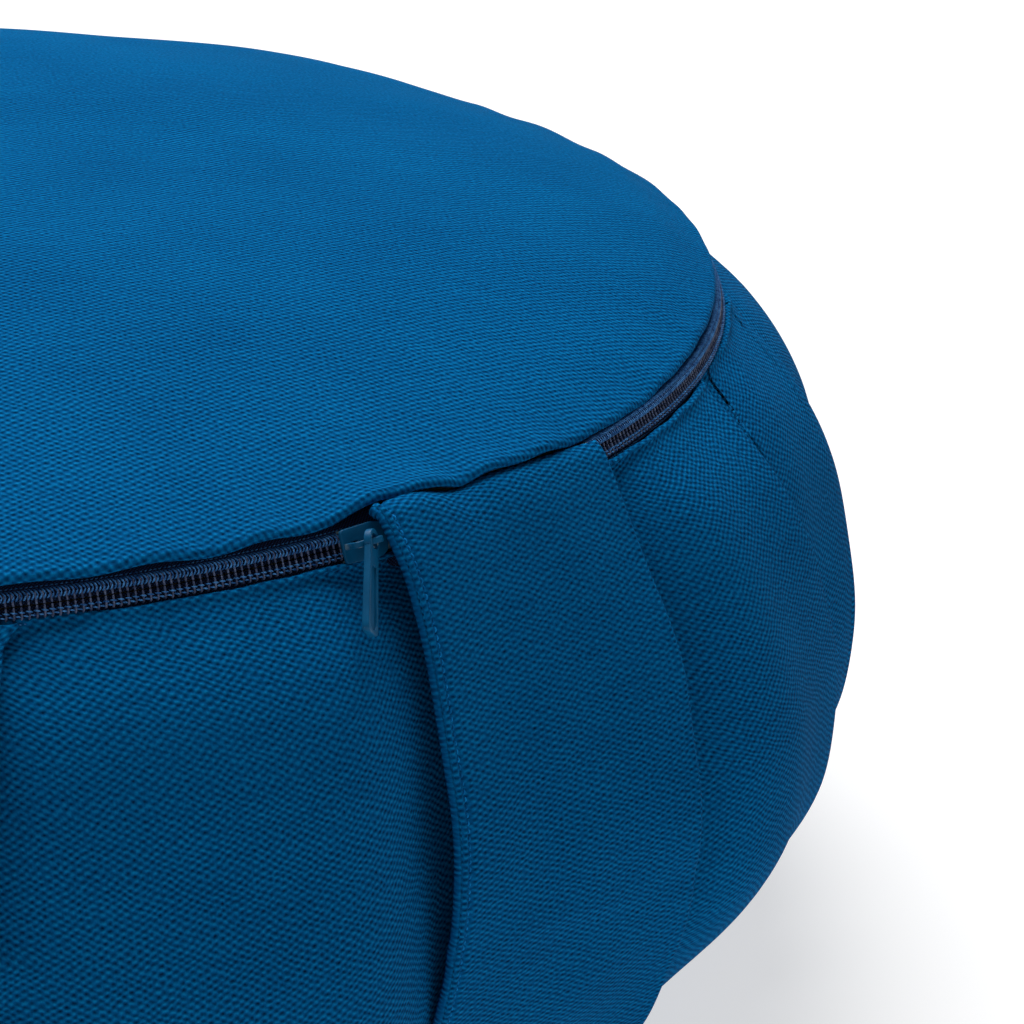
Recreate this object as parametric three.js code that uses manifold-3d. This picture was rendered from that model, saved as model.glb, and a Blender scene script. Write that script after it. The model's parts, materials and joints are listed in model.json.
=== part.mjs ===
// A round pleated floor cushion: a zipped canvas cover with a broad carrying handle, over a husk filling.
// Millimetres, +Z up. The cushion stands on the plane z = 0 with its axis on Z, and the handle faces -Y.
import * as THREE from "three";
import { mergeVertices } from "three/addons/utils/BufferGeometryUtils.js";
import Module from "manifold-3d";

const wasm = await Module();
wasm.setup();

// ---- Driving dimensions -------------------------------------------------------------------------------
const seamRadius = 173; // where the top and bottom panels end
const bulge = 27.7; // how far the side band's folds stand out past the seams
const sideHeight = 121; // from the bottom seam up to the top panel's edge
const crownHeight = 26; // the top panel's dome above its edge
const bottomLift = 13; // the bottom seam above the floor
const restRadius = 138; // the flat that the cushion stands on
const canvas = 0.9; // outer cover cloth
const hem = 1.5; // the top panel's turned edge, two layers
const hemDepth = 9;
const calico = 0.9; // liner cloth
const linerSlack = 1.6; // between the cover and the liner
const fillSlack = 1.8; // between the liner and the filling
const touch = 0.3; // between pieces that are sewn or pressed together

const pleatCount = 14;
const pleatStep = 2.6; // how far a fold edge stands over the cloth beside it
const pleatPhase = 266.5; // the angle of the fold that the handle covers, degrees
const dentDepth = 17; // the handle holds the band in behind it
const dentSpread = 11.5; // half the width of that channel, degrees

const handleWidth = 56.5;
const handleThickness = 2.2;
const handleReach = 19.5; // how far the handle's middle stands out past the seams
const handleLift = 2.3; // the handle's left edge rides this much higher over the slider's nose
const handleAngle = 270;

const zipTilt = 23; // the zip faces outwards and this many degrees up
const tapeWidth = 10.5; // one side
const tapeDepth = 2.65; // the tapes lie this far in behind the cloth edges
const tapeThickness = 0.5;
const coilWidth = 1.45; // one side
const coilHeight = 1.2;
const partingHalfGap = 0.5; // from the zip's centre line to each coil and tape
const tapeUnderHandle = 10; // each tape runs on this far under the handle
const coilUnderHandle = 1.8;

const sliderLength = 8.6;
const sliderWall = 0.5;
const sliderFlare = 0.2; // the nose is this much wider on each side than the tail
const coilClearance = 0.3; // coil to slider wall
const clothClearance = 0.35; // slider to cloth edge
const plateThickness = 0.7;
const crownLength = 5.8;
const crownWidth = 1.0;
const crownBack = 1.3; // the crown stands this far back from the slider's middle
const crownRoom = 2.5; // under the crown's bar
const crownBar = 0.8;
const pullLength = 15.6; // from the eye's middle
const pullWidth = 4.2; // at the free end
const pullNeckWidth = 3.3;
const pullThickness = 1.2;
const pullLean = 26; // the hanging tab leans this much back along the zip, degrees
const pullLift = 13; // and stands this much off the zip's own plane, degrees
const sliderToHandle = 1.9; // from the slider's middle to the handle's edge

// ---- Worked-out sizes ---------------------------------------------------------------------------------
const rad = THREE.MathUtils.degToRad;
const topSeam = bottomLift + sideHeight;
const sliderTailWidth = 2 * (partingHalfGap + coilWidth + coilClearance + sliderWall);
const sliderNoseWidth = sliderTailWidth + 2 * sliderFlare;
const zipGap = sliderNoseWidth + 2 * clothClearance; // cloth edge to cloth edge, across the zip
const zipFacing = new THREE.Vector2(Math.cos(rad(zipTilt)), Math.sin(rad(zipTilt)));
const zipUp = new THREE.Vector2(-zipFacing.y, zipFacing.x);
const panelEdge = new THREE.Vector2(seamRadius, topSeam);
const bandEdge = panelEdge.clone().addScaledVector(zipUp, -zipGap);
const zipMiddle = panelEdge.clone().add(bandEdge).multiplyScalar(0.5);
const tapeMiddle = zipMiddle.clone().addScaledVector(zipFacing, -tapeDepth);
const handleEdgeAngle = THREE.MathUtils.radToDeg(Math.asin(handleWidth / 2 / zipMiddle.x));
const sliderBack = THREE.MathUtils.radToDeg(sliderToHandle / zipMiddle.x);
const sliderAngle = handleAngle - handleEdgeAngle - sliderBack;
const smoothSteps = 84;
const linerSteps = 84;
const bandSteps = pleatCount * 6;

const root = new THREE.Group();

const cloth = (colour, roughness = 0.92) =>
  new THREE.MeshStandardMaterial({ color: colour, roughness, metalness: 0 });
const looks = {
  canvas: cloth(0x0a5c94),
  tape: cloth(0x13294f, 0.85),
  coil: new THREE.MeshStandardMaterial({ color: 0x14284c, roughness: 0.45, metalness: 0 }),
  slider: new THREE.MeshStandardMaterial({ color: 0x0d3a54, roughness: 0.4, metalness: 0.5 }),
  liner: cloth(0xe6dfcf),
  husk: cloth(0x6d4a2b, 0.95),
};

function add(name, geometry, material, parent = root) {
  const mesh = new THREE.Mesh(geometry, material);
  mesh.name = name;
  parent.add(mesh);
  return mesh;
}

// ---- Geometry helpers ---------------------------------------------------------------------------------
// Joins a row of sections, each the same closed loop of points. A closed row runs back to its first section.
function loft(sections, closed) {
  const count = sections[0].length;
  const points = sections.flat();
  const index = [];
  const rows = closed ? sections.length : sections.length - 1;
  for (let i = 0; i < rows; i++)
    for (let j = 0; j < count; j++) {
      const a = i * count + j;
      const b = i * count + ((j + 1) % count);
      const c = ((i + 1) % sections.length) * count + j;
      const d = ((i + 1) % sections.length) * count + ((j + 1) % count);
      index.push(a, b, d, a, d, c);
    }
  if (!closed) {
    const first = sections[0];
    const across = first[1].clone().sub(first[0]).normalize();
    const normal = loopNormal(first);
    const side = new THREE.Vector3().crossVectors(normal, across);
    const flat = first.map((p) => new THREE.Vector2(p.dot(across), p.dot(side)));
    const last = (sections.length - 1) * count;
    for (const [a, b, c] of THREE.ShapeUtils.triangulateShape(flat, [])) {
      index.push(a, c, b);
      index.push(last + a, last + b, last + c);
    }
  }
  const geometry = new THREE.BufferGeometry().setFromPoints(points);
  geometry.setIndex(index);
  return facingOut(geometry);
}

function loopNormal(loop) {
  const sum = new THREE.Vector3();
  loop.forEach((p, i) => sum.add(new THREE.Vector3().crossVectors(p, loop[(i + 1) % loop.length])));
  return sum.normalize();
}

function facingOut(geometry) {
  const p = geometry.getAttribute("position");
  const index = geometry.index.array;
  const [a, b, c] = [new THREE.Vector3(), new THREE.Vector3(), new THREE.Vector3()];
  let volume = 0;
  for (let i = 0; i < index.length; i += 3) {
    a.fromBufferAttribute(p, index[i]);
    b.fromBufferAttribute(p, index[i + 1]);
    c.fromBufferAttribute(p, index[i + 2]);
    volume += a.dot(b.cross(c));
  }
  if (volume < 0)
    for (let i = 0; i < index.length; i += 3) [index[i + 1], index[i + 2]] = [index[i + 2], index[i + 1]];
  return geometry;
}

const onRing = (angle, r, z) => new THREE.Vector3(r * Math.cos(rad(angle)), r * Math.sin(rad(angle)), z);

// A ring whose section, a loop of [r, z] points, may change with the angle.
function ring(sectionAt, steps) {
  const sections = [];
  for (let i = 0; i < steps; i++) {
    const angle = pleatPhase + (360 * i) / steps;
    sections.push(sectionAt(angle).map(([r, z]) => onRing(angle, r, z)));
  }
  return loft(sections, true);
}

// Part of a ring with one section, between two angles.
function arc(section, from, to) {
  const steps = Math.max(1, Math.round(((to - from) / 360) * smoothSteps));
  const sections = [];
  for (let i = 0; i <= steps; i++) {
    const angle = from + ((to - from) * i) / steps;
    sections.push(section.map(([r, z]) => onRing(angle, r, z)));
  }
  return loft(sections, false);
}

// A disc of cloth: its upper line from the axis outwards, thickened downwards.
// The edge may be cut to a given point.
function disc(line, thicknessAt, steps, cut) {
  const upper = line.map(([r, z]) => new THREE.Vector2(r, z));
  const lower = upper.map((p, i) => {
    const before = upper[Math.max(i - 1, 0)];
    const after = upper[Math.min(i + 1, upper.length - 1)];
    const along = after.clone().sub(before).normalize();
    const down = i === 0 ? new THREE.Vector2(0, -1) : new THREE.Vector2(along.y, -along.x);
    return p.clone().addScaledVector(down, thicknessAt(p.x));
  });
  if (cut) lower[lower.length - 1] = new THREE.Vector2(...cut);
  const geometry = new THREE.LatheGeometry([...upper, ...lower.reverse()], steps, rad(pleatPhase));
  geometry.rotateX(Math.PI / 2);
  const merged = new THREE.BufferGeometry();
  merged.setAttribute("position", geometry.getAttribute("position"));
  merged.setIndex(geometry.index);
  return facingOut(dropEmptyFaces(mergeVertices(merged, 1e-3)));
}

function dropEmptyFaces(geometry) {
  const index = geometry.index.array;
  const kept = [];
  for (let i = 0; i < index.length; i += 3) {
    const [a, b, c] = [index[i], index[i + 1], index[i + 2]];
    if (a !== b && b !== c && a !== c) kept.push(a, b, c);
  }
  geometry.setIndex(kept);
  return geometry;
}

const solid = (geometry) => {
  const bare = new THREE.BufferGeometry().setAttribute("position", geometry.getAttribute("position"));
  if (geometry.index) bare.setIndex(geometry.index);
  const merged = mergeVertices(bare.index ? bare.toNonIndexed() : bare, 1e-4);
  return new wasm.Manifold(
    new wasm.Mesh({
      numProp: 3,
      vertProperties: merged.getAttribute("position").array,
      triVerts: new Uint32Array(merged.index.array),
    }),
  );
};

const backToGeometry = (made) => {
  const mesh = made.getMesh();
  const geometry = new THREE.BufferGeometry();
  geometry.setAttribute("position", new THREE.BufferAttribute(new Float32Array(mesh.vertProperties), 3));
  geometry.setIndex(new THREE.BufferAttribute(new Uint32Array(mesh.triVerts), 1));
  return geometry;
};

const block = (x0, x1, y0, y1, z0, z1) =>
  new THREE.BoxGeometry(x1 - x0, y1 - y0, z1 - z0).translate((x0 + x1) / 2, (y0 + y1) / 2, (z0 + z1) / 2);

// ---- The cushion's outline ----------------------------------------------------------------------------
const dome = (r, drop = 0) => topSeam - drop + crownHeight * (1 - Math.pow(r / seamRadius, 2.85));

// The band between its two seams: t is 0 at the top edge and 1 at the bottom seam.
function bandLine(t) {
  const z = THREE.MathUtils.lerp(bandEdge.y, bottomLift + canvas, t);
  const out = bulge * Math.pow(Math.sin(Math.PI * Math.pow(t, 0.92)), 0.74);
  return [seamRadius + out + (bandEdge.x - seamRadius) * Math.pow(1 - t, 4), z];
}

const angleFrom = (angle, middle) => ((((angle - middle + 180) % 360) + 360) % 360) - 180;

// How far the handle presses the band in.
const dent = (angle, t) => {
  const across = Math.exp(-Math.pow(angleFrom(angle, handleAngle) / dentSpread, 4));
  const down = Math.pow(Math.sin(Math.PI * t), 0.45);
  return dentDepth * across * down;
};

// A fold stands out over its left side and steps back behind it.
function pleat(angle, t) {
  const pitch = 360 / pleatCount;
  const along = (((angle - pleatPhase) / pitch) % 1 + 1) % 1;
  const rise = along < 1 / 6 ? 1 - 6 * along : (along - 1 / 6) * 1.2;
  return pleatStep * (rise - 1) * Math.min(1, 0.25 + 2.2 * Math.sin(Math.PI * t));
}

function bandSection(angle, thickness, rows) {
  const line = [];
  for (let i = 0; i <= rows; i++) {
    const t = i / rows;
    const [r, z] = bandLine(t);
    line.push(new THREE.Vector2(r - dent(angle, t) + pleat(angle, t), z));
  }
  const offset = (distance) =>
    line.map((p, i) => {
      if (i === 0) return [p.x - zipFacing.x * distance, p.y - zipFacing.y * distance];
      const along = line[Math.min(i + 1, rows)].clone().sub(line[i - 1]).normalize();
      return [p.x + along.y * distance, p.y - (i < rows ? along.x * distance : 0)];
    });
  return [...offset(0), ...offset(thickness).reverse()];
}

// ---- Cover --------------------------------------------------------------------------------------------
function topPanelLine(edge, drop, rows) {
  const line = [];
  for (let i = 0; i <= rows; i++) {
    const r = edge * Math.pow(i / rows, 0.75);
    line.push([r, dome(r, drop)]);
  }
  return line;
}

const hemmed = (r) => (r > seamRadius - hemDepth ? hem : canvas);
const topLine = topPanelLine(seamRadius - hemDepth - 1, 0, 7);
topLine.push([seamRadius - hemDepth, dome(seamRadius - hemDepth)], [panelEdge.x, panelEdge.y]);
const hemCorner = panelEdge.clone().addScaledVector(zipFacing, -hem * 1.39);
add("cover_top_panel", disc(topLine, hemmed, smoothSteps, [hemCorner.x, hemCorner.y]), looks.canvas);

// The underside is flat where it stands, then turns up to the bottom seam.
function bottomLine(edge, lift, flat) {
  const line = [
    [0, lift],
    [flat, lift],
  ];
  const rows = 4;
  for (let i = 1; i <= rows; i++) {
    const along = i / rows;
    line.push([
      THREE.MathUtils.lerp(flat, edge, along),
      lift + (bottomLift - canvas) * Math.pow(along, 2),
    ]);
  }
  return line;
}
add(
  "cover_bottom_panel",
  disc(bottomLine(seamRadius - touch, canvas, restRadius), () => canvas, smoothSteps),
  looks.canvas,
);
add(
  "cover_side_band",
  ring((angle) => bandSection(angle, canvas, 10), bandSteps),
  looks.canvas,
);

// ---- Handle -------------------------------------------------------------------------------------------
// A double strip of canvas, sewn in at both seams, with room for a hand behind it.
function handlePath() {
  const reach = seamRadius + handleReach;
  const middle = (topSeam + bottomLift) / 2;
  return new THREE.CatmullRomCurve3(
    [
      [panelEdge.x + 0.6, topSeam + 1.4],
      [panelEdge.x + 5.2, topSeam - 3.5],
      [reach - 9, middle + 41],
      [reach - 3, middle + 23],
      [reach, middle + 1],
      [reach - 2.5, middle - 23],
      [reach - 9.5, middle - 42],
      [seamRadius + 5.5, bottomLift + 3],
      [seamRadius + 2.4, bottomLift - 2.2],
    ].map(([r, z]) => new THREE.Vector3(0, -r, z)),
    false,
    "centripetal",
  );
}

// Its lower loop of points runs left to right along the inside, and back along the outside.
function handleGeometry() {
  const path = handlePath();
  const steps = 30;
  const columns = 6;
  const sections = [];
  for (let i = 0; i <= steps; i++) {
    const p = path.getPointAt(i / steps);
    const along = path.getTangentAt(i / steps);
    const out = new THREE.Vector3().crossVectors(along, new THREE.Vector3(1, 0, 0)).normalize();
    const nearRoot = Math.exp(-Math.pow((i / steps) * 6.5, 2));
    const corner = (j, side) => {
      const x = handleWidth * (j / columns - 0.5);
      const lift = handleLift * nearRoot * THREE.MathUtils.smoothstep(-x, 10, handleWidth / 2);
      const twist = (2.4 * x) / handleWidth;
      const off = (side * handleThickness) / 2 + lift + twist * (1 - nearRoot);
      return p.clone().add(new THREE.Vector3(x, 0, 0)).addScaledVector(out, off);
    };
    const row = Array.from({ length: columns + 1 }, (_, j) => j);
    sections.push([...row.map((j) => corner(j, -1)), ...row.reverse().map((j) => corner(j, 1))]);
  }
  return loft(sections, false);
}
add("carry_handle", handleGeometry(), looks.canvas);

// ---- Zip ----------------------------------------------------------------------------------------------
// A point beside the zip: up across the zip and out of its face, from the middle of the tapes.
const zipPoint = (up, out) => {
  const p = tapeMiddle.clone().addScaledVector(zipUp, up).addScaledVector(zipFacing, out);
  return [p.x, p.y];
};
const stopAngle = (mm) => THREE.MathUtils.radToDeg(mm / zipMiddle.x);
const endsUnder = (mm) => handleEdgeAngle - stopAngle(mm);
const tapeFrom = handleAngle + endsUnder(tapeUnderHandle) - 360;
const tapeTo = handleAngle - endsUnder(tapeUnderHandle);
const coilFrom = handleAngle + endsUnder(coilUnderHandle) - 360;
const coilTo = handleAngle - endsUnder(coilUnderHandle);

// Each tape is flat under its coil, and then turns in below the cloth that it is sewn to.
function tapeSection(side) {
  const half = tapeThickness / 2;
  const flat = zipGap / 2 - touch;
  const turned = tapeWidth - flat;
  const near = side * partingHalfGap;
  const far = side * flat;
  const dip = side > 0 ? new THREE.Vector2(-0.92, 0.39) : new THREE.Vector2(0, -1);
  const end = (out) => zipPoint(far, out).map((v, i) => v + turned * dip.getComponent(i));
  return [
    zipPoint(near, half),
    zipPoint(far, half),
    end(half),
    end(-half),
    zipPoint(far, -half),
    zipPoint(near, -half),
  ];
}

function coilSection(side) {
  const low = tapeThickness / 2 + touch;
  const chamfer = 0.4;
  const near = side * partingHalfGap;
  const far = side * (partingHalfGap + coilWidth);
  return [
    zipPoint(near, low),
    zipPoint(far, low),
    zipPoint(far, low + coilHeight - chamfer),
    zipPoint(far - side * chamfer, low + coilHeight),
    zipPoint(near + side * chamfer, low + coilHeight),
    zipPoint(near, low + coilHeight - chamfer),
  ];
}
for (const [word, side] of [
  ["upper", 1],
  ["lower", -1],
]) {
  add(`zip_tape_${word}`, arc(tapeSection(side), tapeFrom, tapeTo), looks.tape);
  add(`zip_coil_${word}`, arc(coilSection(side), coilFrom, coilTo), looks.coil);
}

// Pieces on the zip are made in its own frame: x along it, y up across it and z out of its face.
function zipFrame(angle) {
  const frame = new THREE.Group();
  const out = onRing(angle, zipFacing.x, zipFacing.y);
  const up = onRing(angle, zipUp.x, zipUp.y);
  const along = new THREE.Vector3().crossVectors(up, out);
  frame.matrixAutoUpdate = false;
  frame.matrix.makeBasis(along, up, out).setPosition(onRing(angle, tapeMiddle.x, tapeMiddle.y));
  root.add(frame);
  return frame;
}

// Crimped stops: one on each coil at the closed end, and one across both at the open end.
const stopLength = 1.6;
const coilTop = tapeThickness / 2 + touch + coilHeight;
function stops() {
  const closed = zipFrame(coilTo + stopAngle(stopLength / 2 + touch));
  const low = tapeThickness / 2 + touch;
  const near = partingHalfGap;
  const far = partingHalfGap + coilWidth + 0.2;
  const half = stopLength / 2;
  add("zip_top_stop_upper", block(-half, half, near, far, low, coilTop), looks.slider, closed);
  add("zip_top_stop_lower", block(-half, half, -far, -near, low, coilTop), looks.slider, closed);
  const open = zipFrame(coilFrom - stopAngle(stopLength / 2 + touch));
  add("zip_bottom_stop", block(-half, half, -far, far, low, coilTop), looks.slider, open);
}
stops();

// ---- Slider -------------------------------------------------------------------------------------------
const channel = coilTop + 0.35; // inside face of the front plate
const backFace = -tapeThickness / 2 - 0.45;
const frontFace = channel + plateThickness;
const pinHole = 0.55; // half the size of the hole that the lock pin drops through
const pinAt = -2.0;
const barMiddle = frontFace + touch + crownRoom + crownBar / 2; // the crown's bar, out from the tapes

function plate(low, high) {
  const half = sliderLength / 2;
  const outline = new THREE.Shape();
  outline.moveTo(-half, -sliderTailWidth / 2 + 0.8);
  outline.quadraticCurveTo(-half, -sliderTailWidth / 2, -half + 0.8, -sliderTailWidth / 2);
  outline.lineTo(half * 0.35, -sliderNoseWidth / 2);
  outline.quadraticCurveTo(half, -sliderNoseWidth / 2, half, -0.9);
  outline.lineTo(half, 0.9);
  outline.quadraticCurveTo(half, sliderNoseWidth / 2, half * 0.35, sliderNoseWidth / 2);
  outline.lineTo(-half + 0.8, sliderTailWidth / 2);
  outline.quadraticCurveTo(-half, sliderTailWidth / 2, -half, sliderTailWidth / 2 - 0.8);
  const made = new THREE.ExtrudeGeometry(outline, {
    depth: high - low,
    bevelEnabled: false,
    curveSegments: 4,
  });
  return made.translate(0, 0, low);
}

function sliderBody() {
  const half = sliderLength / 2;
  const wall = sliderWall;
  const inner = sliderTailWidth / 2 - wall;
  const slot = tapeThickness / 2 + 0.4;
  let body = solid(plate(channel, frontFace)).add(solid(plate(backFace - plateThickness, backFace)));
  for (const side of [-1, 1]) {
    const from = side > 0 ? inner : -inner - wall;
    body = body.add(solid(block(-half + 0.6, half * 0.35, from, from + wall, slot, channel + 0.2)));
  }
  // The wedge that parts the coils runs between them.
  body = body.add(solid(block(half - 2.4, half - 0.3, -0.16, 0.16, backFace - 0.2, channel + 0.2)));
  body = body.subtract(
    solid(block(pinAt - pinHole, pinAt + pinHole, -pinHole, pinHole, channel - 0.1, frontFace + 0.5)),
  );
  return backToGeometry(body);
}

// The crown is an arch along the slider. Its bar carries the pull tab's eye.
function crown() {
  const half = crownLength / 2;
  const foot = frontFace + touch;
  const top = barMiddle + crownBar / 2;
  const leg = 0.8;
  const outline = new THREE.Shape();
  outline.moveTo(-half, foot);
  outline.lineTo(-half, top - 1.1);
  outline.quadraticCurveTo(-half, top, -half + 1.3, top);
  outline.lineTo(half - 1.3, top);
  outline.quadraticCurveTo(half, top, half, top - 1.1);
  outline.lineTo(half, foot);
  outline.lineTo(half - leg, foot);
  outline.lineTo(half - leg, top - crownBar - 0.5);
  outline.lineTo(half - leg - 0.5, top - crownBar);
  outline.lineTo(-half + leg + 0.5, top - crownBar);
  outline.lineTo(-half + leg, top - crownBar - 0.5);
  outline.lineTo(-half + leg, foot);
  const made = new THREE.ExtrudeGeometry(outline, {
    depth: crownWidth,
    bevelEnabled: false,
    curveSegments: 4,
  });
  return made.translate(-crownBack, 0, -crownWidth / 2).rotateX(Math.PI / 2);
}

// A sprung leaf under the crown, with a tooth that drops between the coils and holds the slider still.
function lockPin() {
  const low = frontFace + touch;
  const leaf = solid(block(pinAt - 0.2, 0.2, -0.35, 0.35, low, low + 0.3));
  const tooth = solid(block(pinAt - 0.2, pinAt + 0.2, -0.16, 0.16, coilTop - 0.7, low + 0.2));
  return backToGeometry(leaf.add(tooth));
}

// A flat tab with a round eye, drawn with the eye's centre at the origin and hanging down -y.
function pullTab() {
  const eye = 2.0;
  const hole = 1.3;
  const neck = pullNeckWidth / 2;
  const foot = pullWidth / 2;
  const outline = new THREE.Shape();
  outline.moveTo(-neck, -1.0);
  outline.lineTo(-foot, -pullLength + 2.2);
  outline.quadraticCurveTo(-foot, -pullLength, 0, -pullLength);
  outline.quadraticCurveTo(foot, -pullLength, foot, -pullLength + 2.2);
  outline.lineTo(neck, -1.0);
  outline.absarc(0, 0, eye, -0.5, Math.PI + 0.5, false);
  const bore = new THREE.Path();
  bore.absarc(0, 0, hole, 0, Math.PI * 2, true);
  outline.holes.push(bore);
  const made = new THREE.ExtrudeGeometry(outline, {
    depth: pullThickness,
    bevelEnabled: false,
    curveSegments: 10,
  });
  return made.translate(0, 0, -pullThickness / 2);
}

const slider = zipFrame(sliderAngle);
add("slider_body", sliderBody(), looks.slider, slider);
add("slider_crown", crown(), looks.slider, slider);
add("slider_lock_pin", lockPin(), looks.slider, slider);
const hanging = new THREE.Group();
hanging.position.set(-crownBack + 0.3, 0, barMiddle);
hanging.rotation.set(rad(-pullLift), 0, rad(-pullLean), "ZXY");
const facingAlong = new THREE.Group();
facingAlong.rotation.y = Math.PI / 2;
hanging.add(facingAlong);
slider.add(hanging);
add("pull_tab", pullTab(), looks.slider, facingAlong);

// ---- Liner and filling --------------------------------------------------------------------------------
const linerIn = canvas + linerSlack;
const linerEdge = seamRadius - 13;
const linerTop = linerIn + hem + 2.2;
add("liner_top_panel", disc(topPanelLine(linerEdge, linerTop, 5), () => calico, linerSteps), looks.liner);
add(
  "liner_bottom_panel",
  disc(bottomLine(linerEdge, canvas + linerSlack + calico, restRadius), () => calico, linerSteps),
  looks.liner,
);

// The liner's side is smooth, and runs between its own two seams, inside the band.
function linerSection(angle, thickness) {
  const rows = 7;
  const low = bottomLine(linerEdge, canvas + linerSlack + calico, restRadius).at(-1)[1] + touch;
  const high = dome(linerEdge, linerTop) - calico - touch;
  const outer = [];
  const inner = [];
  for (let i = 0; i <= rows; i++) {
    const t = i / rows;
    const [r] = bandLine(0.06 + 0.88 * t);
    const ends = Math.pow(Math.sin(Math.PI * (0.04 + 0.92 * t)), 1.3);
    const cover = r - dent(angle, 0.06 + 0.88 * t) - pleatStep - canvas - linerSlack;
    const out = linerEdge + (cover - linerEdge) * ends;
    const z = THREE.MathUtils.lerp(high, low, t);
    outer.push([out, z]);
    inner.push([out - thickness, z]);
  }
  return [...outer, ...inner.reverse()];
}
add("liner_side_band", ring((angle) => linerSection(angle, calico), linerSteps), looks.liner);

// The husk filling takes the liner's inner shape.
function filling() {
  const topZ = (r) => dome(r, linerTop) - calico - fillSlack;
  const low = canvas + linerSlack + calico + fillSlack;
  const rows = 7;
  const crownRows = 4;
  const sections = [];
  for (let i = 0; i < linerSteps; i++) {
    const angle = pleatPhase + (360 * i) / linerSteps;
    const side = linerSection(angle, calico)
      .slice(0, rows + 1)
      .map(([r, z]) => [r - calico - fillSlack, z]);
    side[0][1] = topZ(side[0][0]);
    side[rows][1] = bottomLine(linerEdge, low, restRadius).at(-1)[1] + 0.6;
    const top = [];
    for (let k = 1; k < crownRows; k++) {
      const r = (side[0][0] * k) / crownRows;
      top.push([r, topZ(r)]);
    }
    sections.push([...top, ...side, [restRadius, low]].map(([r, z]) => onRing(angle, r, z)));
  }
  const count = sections[0].length;
  const points = [...sections.flat(), new THREE.Vector3(0, 0, topZ(0)), new THREE.Vector3(0, 0, low)];
  const index = [];
  for (let i = 0; i < linerSteps; i++) {
    const a = i * count;
    const b = ((i + 1) % linerSteps) * count;
    for (let j = 0; j + 1 < count; j++) index.push(a + j, a + j + 1, b + j + 1, a + j, b + j + 1, b + j);
    index.push(linerSteps * count, a, b);
    index.push(linerSteps * count + 1, b + count - 1, a + count - 1);
  }
  const geometry = new THREE.BufferGeometry().setFromPoints(points);
  geometry.setIndex(index);
  return facingOut(geometry);
}
add("husk_filling", filling(), looks.husk);

export default root;
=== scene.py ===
import json
import math

import bmesh
import bpy
import numpy as np
from mathutils import Matrix, Vector


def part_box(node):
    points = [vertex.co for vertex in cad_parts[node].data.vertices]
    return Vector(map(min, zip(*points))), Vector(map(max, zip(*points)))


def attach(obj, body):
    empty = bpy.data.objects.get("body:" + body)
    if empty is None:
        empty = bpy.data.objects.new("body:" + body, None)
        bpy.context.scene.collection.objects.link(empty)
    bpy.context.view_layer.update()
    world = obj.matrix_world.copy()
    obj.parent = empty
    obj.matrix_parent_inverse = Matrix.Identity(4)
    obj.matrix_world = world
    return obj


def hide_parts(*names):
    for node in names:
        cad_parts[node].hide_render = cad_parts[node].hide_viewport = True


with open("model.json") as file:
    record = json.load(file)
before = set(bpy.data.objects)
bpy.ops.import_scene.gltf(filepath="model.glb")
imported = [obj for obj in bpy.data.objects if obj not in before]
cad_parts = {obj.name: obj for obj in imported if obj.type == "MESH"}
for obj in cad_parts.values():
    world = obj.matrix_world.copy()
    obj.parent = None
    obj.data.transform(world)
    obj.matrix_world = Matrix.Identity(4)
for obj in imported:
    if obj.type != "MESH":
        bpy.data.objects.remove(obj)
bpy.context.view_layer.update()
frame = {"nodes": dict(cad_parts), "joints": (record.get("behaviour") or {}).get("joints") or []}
MM = 0.001

# ---- Camera ---------------------------------------------------------------------------------------------
# Stands front left of the cushion and a little above it, with a long lens that takes in the strap's side.
camera = bpy.data.objects.new("camera", bpy.data.cameras.new("camera"))
bpy.context.scene.collection.objects.link(camera)
bpy.context.scene.camera = camera
camera_right = Vector((0.65605, -0.75446, 0.01973))
camera_up = Vector((0.26370, 0.25364, 0.93066))
turned = Matrix((camera_right, camera_up, camera_right.cross(camera_up))).transposed()
camera.matrix_world = Matrix.Translation((-0.404845, -0.522865, 0.337903)) @ turned.to_4x4()
camera.data.lens = 123.28
camera.data.sensor_width = 36
camera.data.clip_start = 0.01

# ---- Top panel ------------------------------------------------------------------------------------------
# A round of plain-woven cotton canvas, domed by the filling. Its edge is turned under and sewn to the upper
# zip tape, which draws it into small puckers, and over the strap's root the edge is pushed up.
panel_low, panel_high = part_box("cover_top_panel")
seam_radius = (panel_high.x - panel_low.x) / 2 / MM
crown_height = 26.0
seam_height = panel_high.z / MM - crown_height
hem_roll = 0.85
strap_push = [
    (252, 0), (256, 0.1), (258.7, 0.8), (260.2, 2.0), (261.4, 3.0), (263, 3.4), (264.2, 3.4), (265.5, 2.7),
    (267.3, 1.5), (269.4, 1.4), (271.2, 1.1), (273.7, 0.7), (276.6, -0.1), (279.8, -1.0), (283.5, -1.1),
    (289, -0.8), (298, 0),
]


def eased(x, low, high):
    t = np.clip((np.asarray(x, float) - low) / (high - low), 0, 1)
    return t * t * (3 - 2 * t)


def on_ring(angle, r, z):
    """Points in metres from an angle in degrees and a radius and height in millimetres."""
    turn = np.radians(angle)
    return np.stack(np.broadcast_arrays(r * np.cos(turn), r * np.sin(turn), z), -1) * MM


def rumple(x, y, length, seed, waves=7):
    """Soft random hills and hollows, about 1 high, with the given length in millimetres."""
    lots = np.random.default_rng(seed)
    total = 0
    for _ in range(waves):
        heading, phase = lots.uniform(0, 2 * math.pi, 2)
        pitch = length * lots.uniform(0.7, 1.5)
        total = total + np.sin(2 * math.pi * (x * np.cos(heading) + y * np.sin(heading)) / pitch + phase)
    return total / math.sqrt(waves)


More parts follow.
